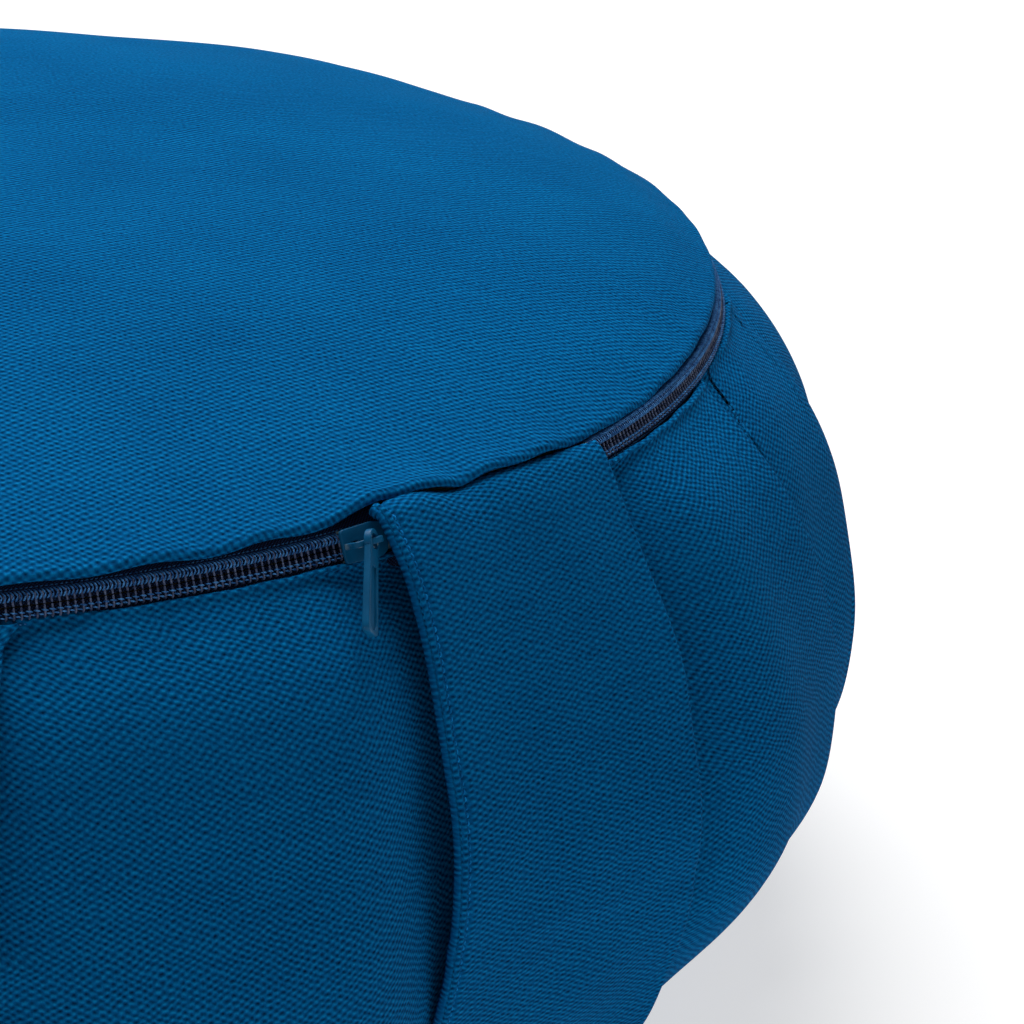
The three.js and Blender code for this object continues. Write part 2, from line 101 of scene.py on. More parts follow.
def sewn_piece(name, points, threads, finish, round_rows=True):
    """A closed cloth mesh from a grid of points. Its columns join up, and so do its rows unless it is
    capped. threads is the weave's own map, in metres, one row and column longer than the grid where it
    joins up."""
    rows, columns = points.shape[:2]
    down = np.arange(rows if round_rows else rows - 1)
    across = np.arange(columns)
    i, j = [a.ravel() for a in np.meshgrid(down, across, indexing="ij")]
    corners = [(i, j), (i + 1, j), (i + 1, j + 1), (i, j + 1)]
    faces = np.stack([(a % rows) * columns + b % columns for a, b in corners], 1).tolist()
    flat = np.stack([threads[a, b] for a, b in corners], 1).reshape(-1, 2)
    caps = []
    if not round_rows:
        caps = [list(range(columns)), list(range((rows - 1) * columns, rows * columns))[::-1]]
    mesh = bpy.data.meshes.new(name)
    mesh.from_pydata(points.reshape(-1, 3).tolist(), [], faces + caps)
    weave = mesh.uv_layers.new(name="weave")
    flat = np.concatenate([flat, np.zeros((sum(len(c) for c in caps), 2))])
    weave.uv.foreach_set("vector", flat.astype(np.float32).ravel())
    work = bmesh.new()
    work.from_mesh(mesh)
    bmesh.ops.remove_doubles(work, verts=work.verts, dist=2e-7)
    bmesh.ops.recalc_face_normals(work, faces=work.faces)
    for face in work.faces:
        face.smooth = True
    work.to_mesh(mesh)
    work.free()
    piece = bpy.data.objects.new(name, mesh)
    bpy.context.scene.collection.objects.link(piece)
    mesh.materials.append(finish.material)
    return piece


class Wire:
    """One socket of a finish. A sum written with it adds the Math nodes that work it out."""

    def __init__(self, finish, socket):
        self.finish, self.socket = finish, socket

    def maths(self, operation, first, second=0.0):
        return self.finish.add("ShaderNodeMath", {"operation": operation}, {0: first, 1: second})

    def __add__(self, other):
        return self.maths("ADD", self, other)

    def __sub__(self, other):
        return self.maths("SUBTRACT", self, other)

    def __rsub__(self, other):
        return self.maths("SUBTRACT", other, self)

    def __mul__(self, other):
        return self.maths("MULTIPLY", self, other)

    def __pow__(self, other):
        return self.maths("POWER", self, other)

    __radd__, __rmul__ = __add__, __mul__


class Finish:
    """A piece's surface, built from nodes."""

    def __init__(self, name, **fixed):
        self.material = bpy.data.materials.new(name)
        self.material.use_nodes = True
        self.tree = self.material.node_tree
        self.shader = self.tree.nodes["Principled BSDF"]
        for socket, value in fixed.items():
            self.shader.inputs[socket.replace("_", " ")].default_value = value

    def add(self, kind, settings, sockets, out=0):
        node = self.tree.nodes.new(kind)
        for name, value in settings.items():
            if name == "stops":
                ramp = node.color_ramp
                while len(ramp.elements) < len(value):
                    ramp.elements.new(0.5)
                for stop, (place, colour) in zip(ramp.elements, value):
                    stop.position, stop.color = place, (*colour, 1)
            else:
                setattr(node, name, value)
        for name, value in sockets.items():
            if isinstance(value, Wire):
                self.tree.links.new(value.socket, node.inputs[name])
            else:
                node.inputs[name].default_value = value
        return Wire(self, node.outputs[out])

    def feed(self, **wires):
        for socket, wire in wires.items():
            self.tree.links.new(wire.socket, self.shader.inputs[socket.replace("_", " ")])


def paint(red, green, blue):
    """A colour given as 0 to 255, as linear light."""
    shares = (red / 255, green / 255, blue / 255)
    return tuple(((c + 0.055) / 1.055) ** 2.4 if c > 10 / 255 else c / 12.92 for c in shares)


def mixed(finish, factor, low, high):
    """The colour between low and high, each of them a colour or a wire."""
    low, high = [c if isinstance(c, Wire) else (*c, 1) for c in (low, high)]
    settings = {"data_type": "RGBA", "clamp_factor": True}
    return finish.add("ShaderNodeMix", settings, {0: factor, 6: low, 7: high}, out=2)


def canvas_finish(name, pit_shade, thread, crown_highlight):
    """Plain-woven canvas: staggered thread crowns 2 mm apart in rows 0.62 mm apart, with painted shade in
    the hollows between them and a painted highlight on the crowns, over the fibres' own random tone.
    """
    row_pair, crown_pitch = 1.24, 2.0
    cloth = Finish(name, Roughness=0.9, Sheen_Weight=0.01, Sheen_Roughness=0.5, Specular_IOR_Level=0.015)
    cloth.shader.inputs["Sheen Tint"].default_value = (0.25, 0.6, 1.0, 1)
    plan = cloth.add("ShaderNodeUVMap", {"uv_map": "weave"}, {})

    def cloud(scale, detail=1.0, vector=plan):
        settings = {"noise_dimensions": "2D"}
        sockets = {"Vector": vector, "Scale": scale, "Detail": detail}
        return cloth.add("ShaderNodeTexNoise", settings, sockets)

    def cosine(value):
        return cloth.add("ShaderNodeMath", {"operation": "COSINE"}, {0: value})

    across = cloth.add("ShaderNodeSeparateXYZ", {}, {0: plan}, out="X")
    along = cloth.add("ShaderNodeSeparateXYZ", {}, {0: plan}, out="Y")
    sway = cloud(170, 2.0)
    elsewhere = cloth.add("ShaderNodeVectorMath", {"operation": "ADD"}, {0: plan, 1: (3.7, 1.9, 0)})
    drift = cloud(230, 2.0, elsewhere)
    rows = cosine(across * (2000 * math.pi / row_pair) + sway * 5.0)
    crowns = rows * cosine(along * (2000 * math.pi / crown_pitch) + drift * 4.0)
    rise = (crowns * 0.5 + 0.5) ** 0.8
    slub_plan = cloth.add("ShaderNodeVectorMath", {"operation": "MULTIPLY"}, {0: plan, 1: (1.0, 0.07, 1)})
    slub = cloud(950, 1.0, slub_plan)
    fibre = cloud(1500, 1.5)
    level = rise * 0.66 + fibre * 0.6 + slub * 0.14 + cloud(26, 2.0) * 0.14 - 0.2
    # The weave's height sets painted shade in the pits and a painted highlight on the crowns; fibre, slub
    # and cloud add the thread's own random tone.
    stops = [(0.05, pit_shade), (0.62, thread), (1.0, crown_highlight)]
    colour = cloth.add("ShaderNodeValToRGB", {"stops": stops}, {0: level}, out="Color")
    relief = {"Strength": 1.0, "Distance": 0.26 * MM, "Height": rise + fibre * 0.4}
    bump = cloth.add("ShaderNodeBump", {}, relief, out="Normal")
    cloth.feed(Base_Color=colour, Normal=bump)
    return cloth


# The darkest colour is painted shade between the threads, and the lightest is a painted highlight on their
# crowns.
canvas = canvas_finish("blue_canvas", paint(0, 20, 52), paint(0, 82, 136), paint(5, 114, 172))


def dome(r):
    return seam_height + crown_height * (1 - (r / seam_radius) ** 2.85)


def panel_relief(angle, r):
    """How far the cloth stands off the plain dome."""
    x, y = r * np.cos(np.radians(angle)), r * np.sin(np.radians(angle))
    edge = np.exp(-(seam_radius - r) / 9.0)
    gathers = rumple(x * seam_radius / (r + 1e-6), y * seam_radius / (r + 1e-6), 13.0, 4) * 0.28
    broad = rumple(x, y, 85.0, 8) * 0.45 + rumple(x * 0.5, y, 36.0, 15) * 0.13
    push = (0.5 + np.interp(angle % 360, *zip(*strap_push))) * np.exp(-(seam_radius - r) / 8.0)
    crease = -0.8 * np.exp(-(((angle % 360) - 267.6) / 1.3) ** 2) * np.exp(-(seam_radius - r) / 6.0)
    lumps = 0
    for middle, spread, height in ((52, 21, -3.0), (10, 15, 1.1), (-42, 26, 2.0)):
        away = (angle - middle + 180) % 360 - 180
        lumps = lumps + height * np.exp(-((away / spread) ** 2)) * np.exp(-(((r - 150) / 45) ** 2))
    lumps = lumps * eased(seam_radius - r, 0, 12)
    return broad * eased(seam_radius - r, 0, 14) + gathers * edge + push + crease + lumps


def panel_piece():
    angles = np.linspace(0, 360, 901)[:-1] + 0.2
    radii = (seam_radius - 1.7) * (1 - (1 - np.linspace(0, 1, 120)) ** 1.35)
    rows, lengths, length = [], [], 0.0
    for before, r in zip([0, *radii], radii):
        rows.append(on_ring(angles, r, dome(r) + panel_relief(angles, r)))
        length += r - before
        lengths.append(length)
    rim_z = dome(radii[-1]) + panel_relief(angles, radii[-1])
    for turn in (35, 65, 95, 125, 155, 180):
        bend = math.radians(turn)
        out, down = hem_roll * math.sin(bend), hem_roll * (1 - math.cos(bend))
        rows.append(on_ring(angles, radii[-1] + out, rim_z - down - 0.3 * out))
        length += 0.45
        lengths.append(length)
    single, hemmed = 0.95, 1.7
    underside = [(170, 1.75), (166, hemmed)] + [(r, single) for r in (163, 140, 100, 50, 0)]
    for r, thick in underside:
        rows.append(on_ring(angles, r, dome(r) + panel_relief(angles, max(r, 0.01)) - thick))
        lengths.append(lengths[-1] + 5)
    points = np.stack(rows)
    reach = np.array(lengths)[:, None] * MM
    around = np.radians(np.append(angles, angles[0] + 360) + 37.75)
    threads = np.stack([reach * np.sin(around), reach * np.cos(around)], -1)
    return sewn_piece("top_panel", points, threads, round_rows=False, finish=canvas)


top_panel = panel_piece()
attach(top_panel, "cushion")
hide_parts("cover_top_panel")

# ---- Side band ------------------------------------------------------------------------------------------
# The same canvas in one long strip, knife-pleated into fourteen flat tucks that lie over to one side, and
# sewn to the lower zip tape above and to the bottom panel below. The strap holds it in where it crosses.
tucks = 14
tuck_pitch = 360 / tucks
first_fold = 266.5
fold_levels = (0, 0.02, 0.07, 0.13, 0.21, 0.36, 0.5, 0.75, 1)
fold_wander = {
    0: (0, 0, 0, 0, 0, 0, 0, 0, 0),
    1: (2.9, 2.4, 1.7, 1.7, 2.0, 4.1, 6.3, 6.0, 4.5),
    2: (-5.6, -6.6, -8.6, -10.3, -11.3, -11.6, -11.5, -10, -9),
    13: (-0.1, -1, -1.7, -2.1, -2.7, -3.6, -4.2, -4.4, -4),
}
bulge = 27.7
band_low = 13.9
zip_face = np.array([math.cos(math.radians(23)), math.sin(math.radians(23))])  # outwards and up
zip_rise = np.array([-zip_face[1], zip_face[0]])
zip_gap = 6.6
band_edge = np.array([seam_radius, seam_height]) - zip_gap * zip_rise
strap_angle = 270.0
strap_hold = 17.0


def angle_from(angle, middle):
    """The turn from middle to angle, in degrees, the short way round."""
    return (angle - middle + 180) % 360 - 180


def band_line(t):
    """The band's radius and height, in millimetres, at a share t of the way down it."""
    t = np.asarray(t, float)
    z = band_edge[1] + (band_low - band_edge[1]) * t
    belly = bulge * np.sin(math.pi * t**0.92) ** 0.74 * (1 - np.exp(-t / 0.035))
    belly = belly + 3.6 * np.exp(-(((t - 0.75) / 0.15) ** 2)) - 1.6 * np.exp(-(((t - 0.36) / 0.13) ** 2))
    return seam_radius + belly + (band_edge[0] - seam_radius) * (1 - t) ** 4, z


def held_in(angle, t):
    """How far the strap holds the band in behind it."""
    across = np.exp(-((angle_from(angle, strap_angle) / 11.5) ** 4))
    return strap_hold * across * np.sin(math.pi * t) ** 0.45


def tuck_height(t):
    """How deep a tuck's layers stand, in millimetres, at a share t of the way down the band."""
    return 2.0 + 3.0 * np.sin(math.pi * np.asarray(t, float)) ** 0.8


def fold_ridge(before, t):
    """How far the cloth stands out this many degrees before a fold: a hollow, then a rim at the fold."""
    rim = 0.9 * np.exp(-((before / 2.0) ** 2)) - 1.3 * np.exp(-(((before - 5.5) / 3.0) ** 2))
    return rim * np.sin(math.pi * t) ** 0.45


def fold_angle(k, t):
    """Where a fold lies at each level: the tucks are uneven, and most lean a little to one side."""
    lots = np.random.default_rng(70 + k % tucks)
    shift, lean, bow = lots.uniform(-2.2, 2.2), lots.uniform(-3.5, 3.5), lots.uniform(-1.2, 1.2)
    wander = shift + lean * np.asarray(t, float) + bow * np.sin(2 * math.pi * np.asarray(t, float))
    if k % tucks in fold_wander:
        wander = np.interp(t, fold_levels, fold_wander[k % tucks])
    return first_fold + k * tuck_pitch + wander


def liner_line():
    """The liner's outer radius at a series of levels, at the back: no tuck may sink below it."""
    liner = frame["nodes"]["liner_side_band"]
    to_liner = liner.matrix_world.inverted()
    levels, reach = [], []
    for level in np.linspace(1, 145, 145):
        start = to_liner @ Vector((0, 0.3, level * MM))
        met, place, *_ = liner.ray_cast(start, to_liner.to_3x3() @ Vector((0, -1, 0)), distance=0.2)
        if met:
            levels.append(level)
            reach.append((liner.matrix_world @ place).y / MM)
    return levels, reach


def band_columns():
    """Places along the cloth of one tuck: share of the pitch, millimetres beside it, and its layer."""
    under = [(0, -a, "under") for a in (4.2, 3.2, 2.2, 1.4, 0.8, 0.3)]
    start = [(0, a, "open") for a in (0.1, 0.5, 1.0, 1.6, 2.3, 3.2, 4.3, 5.6, 7.2)]
    open_ = [(s, 0, "open") for s in np.linspace(0.12, 0.9, 30)]
    close = [(1, -a, "open") for a in (6.8, 5.4, 4.2, 3.2, 2.4, 1.7)]
    roll = [(1, a, "roll") for a in (10, 40, 70, 100, 130, 160)]
    back = [(1, -a, "back") for a in (1.6, 2.6, 3.6, 4.3)]
    return under + start + open_ + close + roll + back


def band_piece():
    t = (1 - np.cos(math.pi * np.linspace(0, 1, 90))) / 2
    r, z = band_line(t)
    height = tuck_height(t)
    fold_radius = 0.95
    arc = np.concatenate([[0], np.cumsum(np.hypot(np.diff(r), np.diff(z)))])
    outer, inner_angle, threads = [], [], []
    liner_levels, liner_reach = liner_line()
    for k in range(tucks):
        left, right = fold_angle(k, t), fold_angle(k + 1, t)
        for share, beside, layer in band_columns():
            roll = fold_radius * np.minimum(1, height * 0.4 / fold_radius)
            drop, side = np.zeros_like(t), np.full_like(t, float(beside))
            if layer == "roll":
                bend = math.radians(beside)
                side = -roll + roll * math.sin(bend)
                drop = roll * (1 - math.cos(bend)) - fold_ridge(0, t)
            elif layer == "back":
                drop = 2 * roll + (height - 2 * roll) * 0.45 * eased(-beside, 1.2, 4.3)
                drop = drop - fold_ridge(0, t) * eased(beside, -4.3, -1.6)
            elif layer == "under":
                drop = height - (height - 2 * roll) * 0.45 * eased(-beside, 1.2, 4.3)
            else:
                swing = np.clip(share + np.degrees(side / r) / (right - left), 0, 1)
                slack = np.exp(-((swing * (right - left) / 4.2) ** 1.3))
                drop = height * (slack + 0.16 * (1 - swing)) + 0.5 * np.exp(-((swing - 0.04) / 0.04) ** 2)
                drop = drop - fold_ridge((1 - swing) * (right - left), t)
            place = left + share * (right - left) + np.degrees(side / r)
            x, y = r * np.cos(np.radians(place)), r * np.sin(np.radians(place))
            seed_y = z * 0.45
            soft = rumple(x + seed_y, y - seed_y * 0.6, 38.0, 21) * 0.42 * np.sin(math.pi * t) ** 0.5
            gather = rumple(x, y, 11.0, 5) * 0.28 * np.exp(-arc / 9.0)
            gather = gather + rumple(x, y, 12.0, 6) * 0.5 * np.exp(-(arc[-1] - arc) / 12.0)
            rim = r - held_in(place, t) - drop + soft + gather
            rim = np.maximum(rim, np.interp(z, liner_levels, liner_reach) - held_in(place, t) + 0.9)
            outer.append(np.stack([place, rim, z], 1))
            start, pitch = left.mean(), (right - left).mean()
            inside = 0.999 if layer == "roll" else share + np.degrees(beside / 190) / pitch
            inner_angle.append(start + max(0.004, min(0.996, inside)) * pitch)
            run = (1 - share) * (right - left) * np.radians(1) * r - side
            threads.append(np.stack([np.broadcast_to(arc, run.shape), run + 7.0 * k], 1))
    outer = np.stack(outer, 1)  # rows from the top edge down, columns round the cushion
    inner_angle = np.maximum.accumulate(np.array(inner_angle) + np.arange(len(inner_angle)) * 1e-4)
    lip, lip_threads = [], []
    for turn in (180, 150, 120, 90, 60, 30):
        bend = math.radians(turn)
        shift = 0.8 * (-zip_face * (1 - math.cos(bend)) + zip_rise * math.sin(bend))
        row = outer[0].copy()
        row[:, 1] += shift[0]
        row[:, 2] += shift[1]
        lip.append(row)
    lining = []
    for s in (0.99, 0.9, 0.8, 0.7, 0.6, 0.5, 0.4, 0.3, 0.2, 0.1, 0.03):
        base, level = band_line(s)
        held = held_in(inner_angle, s)
        deep = base - held - tuck_height(s) - 2.6 * min(1, 2.2 * math.sin(math.pi * s) + 0.3)
        deep = np.maximum(deep, np.interp(level, liner_levels, liner_reach) - held + 0.4)
        lining.append(np.stack([inner_angle, deep, np.full_like(deep, level)], 1))
    every = np.concatenate([lip, outer, lining])
    points = on_ring(every[..., 0], every[..., 1], every[..., 2])
    flat = np.stack(threads, 1)
    flat = np.concatenate([np.repeat(flat[:1], 6, 0), flat, np.repeat(flat[-1:], 11, 0)])
    flat[:6, :, 0] -= np.linspace(2.4, 0.4, 6)[:, None]
    flat = np.concatenate([flat, flat[:, :1]], 1)
    flat = np.concatenate([flat, flat[:1]], 0) * MM
    return sewn_piece("side_band", points, flat, finish=canvas)


side_band = band_piece()
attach(side_band, "cushion")
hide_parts("cover_side_band")

# ---- Bottom panel ---------------------------------------------------------------------------------------
# A second round of canvas, flat where the cushion stands and curving up to the bottom seam at its rim.
floor_flat = 138.0


def bottom_piece():
    angles = np.linspace(0, 360, 361)[:-1]
    rim = seam_radius - 0.3
    radii = np.concatenate([np.linspace(0, floor_flat, 8), np.linspace(floor_flat + 3, rim, 14)])
    lift = 12.1 * np.clip((radii - floor_flat) / (rim - floor_flat), 0, 1) ** 2
    rows = []
    for r, z in zip(radii, lift):
        x, y = r * np.cos(np.radians(angles)), r * np.sin(np.radians(angles))
        rows.append(on_ring(angles, r, z + 0.2 * eased(z, 0, 2) * (1 + rumple(x, y, 15.0, 9))))
    for r, z in zip(radii[::-1], lift[::-1]):
        rows.append(on_ring(angles, r, np.full_like(angles, z + 1.0 + 0.4 * (z > 1))))
    points = np.stack(rows)
    flat = np.concatenate([points, points[:, :1]], 1)[..., :2]
    return sewn_piece("bottom_panel", points, flat, round_rows=False, finish=canvas)


bottom_panel = bottom_piece()
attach(bottom_panel, "cushion")
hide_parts("cover_bottom_panel")

# ---- Zip tapes ------------------------------------------------------------------------------------------
# Two navy polyester tapes, woven in fine ribs. Each is sewn in under a cloth edge and carries one side of
# the coil along its free edge.
zip_middle = (np.array([seam_radius, seam_height]) + band_edge) / 2
tape_middle = zip_middle - 2.65 * zip_face
strap_low, strap_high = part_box("carry_handle")
strap_half = (strap_high.x - strap_low.x) / 2 / MM
strap_edge_angle = math.degrees(math.asin(strap_half / zip_middle[0]))


def zip_point(up, out):
    """A point of the zip's section: up across it, and out of its face."""
    return tape_middle + up * zip_rise + out * zip_face


def under_strap(length):
    """The two ends of a strip that runs on this far under the strap."""
    reach = strap_edge_angle - math.degrees(length / zip_middle[0])
    return strap_angle + reach - 360, strap_angle - reach


def zip_strip(name, section, ends, steps, finish):
    angles = np.linspace(*ends, steps)
    section = np.array(section)
    points = on_ring(angles[:, None], section[None, :, 0], section[None, :, 1])
    run = np.radians(angles) * zip_middle[0] * MM
    across = np.append(0, np.cumsum(np.hypot(*np.diff(section, axis=0).T))) * MM
    across = np.append(across, across[-1] + 0.5 * MM)
    threads = np.stack(np.broadcast_arrays(run[:, None], across[None, :]), -1)
    return sewn_piece(name, points, threads, round_rows=False, finish=finish)


def tape_finish():
    """Fine twill ribs across the tape, with painted shade in the rib hollows and painted highlights, like
    filament glints, on the rib crowns.
    """
    tape = Finish("zip_tape_navy", Roughness=0.7, Sheen_Weight=0.03, Specular_IOR_Level=0.15)
    plan = tape.add("ShaderNodeUVMap", {"uv_map": "weave"}, {})
    run = tape.add("ShaderNodeSeparateXYZ", {}, {0: plan}, out="X")
    across = tape.add("ShaderNodeSeparateXYZ", {}, {0: plan}, out="Y")
    ribs = tape.add("ShaderNodeMath", {"operation": "SINE"}, {0: run * (2000 * math.pi / 0.62)})
    cords = tape.add("ShaderNodeMath", {"operation": "SINE"}, {0: across * (2000 * math.pi / 0.55)})
    rise = (ribs * cords) * 0.5 + 0.5
    # Painted shade where the ribs dip, and a painted highlight where they rise.
    stops = [(0.1, paint(2, 12, 34)), (0.6, paint(6, 28, 66)), (1.0, paint(40, 76, 132))]
    tint = tape.add("ShaderNodeValToRGB", {"stops": stops}, {0: rise ** 1.5}, out="Color")
    bump = tape.add("ShaderNodeBump", {}, {"Distance": 0.12 * MM, "Height": rise}, out="Normal")
    tape.feed(Base_Color=tint, Normal=bump)
    return tape


zip_tape_navy = tape_finish()
for word, side in (("upper", 1), ("lower", -1)):
    dip = np.array([-0.92, 0.39]) if side > 0 else np.array([0.0, -1.0])
    near, far = 0.2 * side, 3.0 * side
    top_end, low_end = zip_point(far, 0.25) + 7.3 * dip, zip_point(far, -0.25) + 7.3 * dip
    section = [
        zip_point(near, -0.2), zip_point(near - side * 0.08, 0), zip_point(near, 0.2),
        zip_point(side * 1.2, 0.25), zip_point(side * 2.2, 0.25), zip_point(far, 0.22), top_end, low_end,
        zip_point(far, -0.25), zip_point(side * 1.2, -0.25),
    ]
    tape = zip_strip(f"tape_{word}", section, under_strap(10), 560, zip_tape_navy)
    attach(tape, "cushion")
    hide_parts(f"zip_tape_{word}")

# ---- Zip coil and its sewing ----------------------------------------------------------------------------
# Each side of the coil is a nylon filament wound into teeth and sewn to its tape: a slanted overlock row
# outside the teeth and a straight thread over them.
tooth_pitch = 1.2
coil_height = 1.75


def thread_piece(name, paths, thickness, sides, finish):
    """Round threads or wires along many paths, all with the same number of points, in one mesh."""
    paths = np.asarray(paths, float)
    count, length = paths.shape[:2]
    ahead = np.gradient(paths, axis=1)
    ahead /= np.linalg.norm(ahead, axis=2, keepdims=True) + 1e-12
    outward = paths * (1, 1, 0)
    outward /= np.linalg.norm(outward, axis=2, keepdims=True) + 1e-12
    outward = outward + np.array([0, 0, 0.42])
    first = np.cross(ahead, outward)
    small = np.linalg.norm(first, axis=2, keepdims=True)
    first = np.where(small < 0.15, np.cross(ahead, [0, 0, 1.0]), first)
    first /= np.linalg.norm(first, axis=2, keepdims=True) + 1e-12
    second = np.cross(first, ahead)
    turn = np.arange(sides) / sides * 2 * math.pi
    girth = np.full((length, 1, 1), thickness / 2 * MM)
    girth[[0, -1]] *= 0.55
    ring = first[:, :, None] * np.cos(turn)[:, None] + second[:, :, None] * np.sin(turn)[:, None]
    points = paths[:, :, None] + ring * girth
    i, j = [a.ravel() for a in np.meshgrid(np.arange(length - 1), np.arange(sides), indexing="ij")]
    after = (j + 1) % sides
    one = np.stack([i * sides + j, i * sides + after, (i + 1) * sides + after, (i + 1) * sides + j], 1)
    faces = (one[None] + np.arange(count)[:, None, None] * length * sides).reshape(-1, 4).tolist()
    start = np.arange(sides)[::-1]
    for k in range(count):
        first_ring, last_ring = k * length * sides, (k * length + length - 1) * sides
        faces += [(start + first_ring).tolist(), (start[::-1] + last_ring).tolist()]
    mesh = bpy.data.meshes.new(name)
    mesh.from_pydata(points.reshape(-1, 3).tolist(), [], faces)
    mesh.polygons.foreach_set("use_smooth", np.ones(len(mesh.polygons), bool))
    mesh.materials.append(finish.material)
    piece = bpy.data.objects.new(name, mesh)
    bpy.context.scene.collection.objects.link(piece)
    return piece


def thread_finish(name, low, high, grain, roughness=0.5, gloss=0.4):
    """Spun thread or filament: lighter and darker lengths, with a fine twist in the bump."""
    thread = Finish(name, Roughness=roughness, Specular_IOR_Level=gloss)
    place = thread.add("ShaderNodeTexCoord", {}, {}, out="Object")
    cloud = thread.add("ShaderNodeTexNoise", {}, {"Vector": place, "Scale": grain, "Detail": 2.0})
    twist = thread.add("ShaderNodeTexNoise", {}, {"Vector": place, "Scale": 5000.0, "Detail": 1.0})
    tint = thread.add("ShaderNodeValToRGB", {"stops": [(0.3, low), (0.7, high)]}, {0: cloud}, out="Color")
    bump = thread.add("ShaderNodeBump", {}, {"Distance": 0.05 * MM, "Height": twist}, out="Normal")
    thread.feed(Base_Color=tint, Normal=bump)
    return thread


coil_nylon = thread_finish("coil_nylon", paint(30, 44, 78), paint(92, 106, 138), 900.0, 0.4, 0.25)
tape_thread = thread_finish("tape_thread", paint(12, 58, 116), paint(76, 138, 198), 1300.0, 0.6, 0.08)
coil_ends = under_strap(1.8)
teeth = int((coil_ends[1] - coil_ends[0]) * math.radians(1) * zip_middle[0] / tooth_pitch)


def zip_paths(profile, slant, offset, pitch, ends):
    """One path for each tooth or stitch: its profile across the zip, leaning along it by slant."""
    count = int((ends[1] - ends[0]) * math.radians(1) * zip_middle[0] / pitch)
    angles = ends[0] + (np.arange(count) + 0.5 + offset) * (ends[1] - ends[0]) / (count + 1)
    profile = np.array(profile, float)
    lean = np.linspace(-slant / 2, slant / 2, len(profile))
    section = np.stack([zip_point(up, out) for up, out in profile])
    place = angles[:, None] + np.degrees(lean / zip_middle[0])[None]
    return on_ring(place, section[None, :, 0], section[None, :, 1])


for word, side in (("upper", 1), ("lower", -1)):
    tooth = [
        (1.92 * side, 0.5), (1.95 * side, 1.1), (1.75 * side, 1.45), (1.2 * side, 1.57), (0.5 * side, 1.6),
        (0.2 * side, 1.58), (0.18 * side, 1.0),
    ]
    coil = thread_piece(
        f"coil_{word}", zip_paths(tooth, 0.1, 0, tooth_pitch, coil_ends), 0.38, 7, coil_nylon
    )
    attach(coil, "cushion")
    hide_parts(f"zip_coil_{word}")
    if side > 0:
        inner = [(0.8, 1.5), (0.95, 1.82), (1.25, 1.9), (1.55, 1.62)], 0.5, 0, 0.62
        outer = [(1.5, 1.64), (1.85, 1.62), (2.2, 1.15), (2.45, 0.5)], -0.55, 0, 0.62
    else:
        inner = [(-0.85, 1.5), (-0.92, 1.88), (-0.98, 1.88), (-1.04, 1.6)], 1.0, 0, 1.2
        outer = [(-1.42, 1.5), (-1.5, 1.72), (-1.58, 1.7), (-1.66, 1.4)], 1.0, 0.5, 1.2
    rows = [
        thread_piece(f"inner_row_{word}", zip_paths(*inner, coil_ends), 0.28, 6, tape_thread),
        thread_piece(f"outer_row_{word}", zip_paths(*outer, coil_ends), 0.28, 6, tape_thread),
    ]
    foot = [(2.66 * side, 0.2), (2.7 * side, 0.42), (2.74 * side, 0.42), (2.78 * side, 0.2)]
    foot_paths = zip_paths(foot, 0.5, 0, 0.8, coil_ends)
    rows.append(thread_piece(f"tape_row_{word}", foot_paths, 0.22, 6, tape_thread))
    for sewing in rows:
        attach(sewing, "cushion")

# ---- Stops, slider and lock pin -------------------------------------------------------------------------
# Die-cast zinc, painted dark teal to go with the canvas, and lighter grey on its edges: partly paint rubbed
# back, partly a painted highlight where the edges catch the light. The body has two plates and side walls
# round the coils, and an arched crown that carries the pull.
pull_joint = next(j for j in frame["joints"] if j["name"] == "pull_swing")
pivot = Vector(pull_joint["pos_m"])
slider_along = -Vector(pull_joint["axis"]).normalized()
slider_out = Vector(next(j for j in frame["joints"] if j["name"] == "lock_pin_lift")["axis"]).normalized()
slider_up = slider_out.cross(slider_along)
slider_origin = pivot + slider_along * 1.0 * MM - slider_out * 6.0 * MM
slider_axes = Matrix((slider_along, slider_up, slider_out)).transposed()
slider_seat = Matrix.Translation(slider_origin) @ slider_axes.to_4x4()


def metal_finish():
    """Paint with a fine orange peel, lighter grey where Geometry's pointiness finds an edge: partly wear,
    partly a painted highlight.
    """
    metal = Finish("painted_zinc", Specular_IOR_Level=0.12, Coat_Weight=0.03, Coat_Roughness=0.35)
    place = metal.add("ShaderNodeTexCoord", {}, {}, out="Object")
    speck = metal.add("ShaderNodeTexNoise", {}, {"Vector": place, "Scale": 1400.0, "Detail": 3.0})
    blotch = metal.add("ShaderNodeTexNoise", {}, {"Vector": place, "Scale": 260.0, "Detail": 2.0})
    edge = metal.add("ShaderNodeNewGeometry", {}, {}, out="Pointiness")
    sockets = {"Value": edge + speck * 0.10, "From Min": 0.61, "From Max": 0.71}
    # Edges turn grey: partly rubbed-back paint, partly a painted highlight where they catch the light.
    edge_wear_and_highlight = metal.add("ShaderNodeMapRange", {"clamp": True}, sockets)
    paint_coat = mixed(metal, blotch, paint(0, 66, 104), paint(4, 90, 134))
    metal.feed(
        Base_Color=mixed(metal, edge_wear_and_highlight, paint_coat, paint(120, 146, 160)),
        Roughness=0.30 + speck * 0.22,
        Normal=metal.add("ShaderNodeBump", {}, {"Distance": 0.05 * MM, "Height": speck}, out="Normal"),
    )
    return metal


painted_zinc = metal_finish()


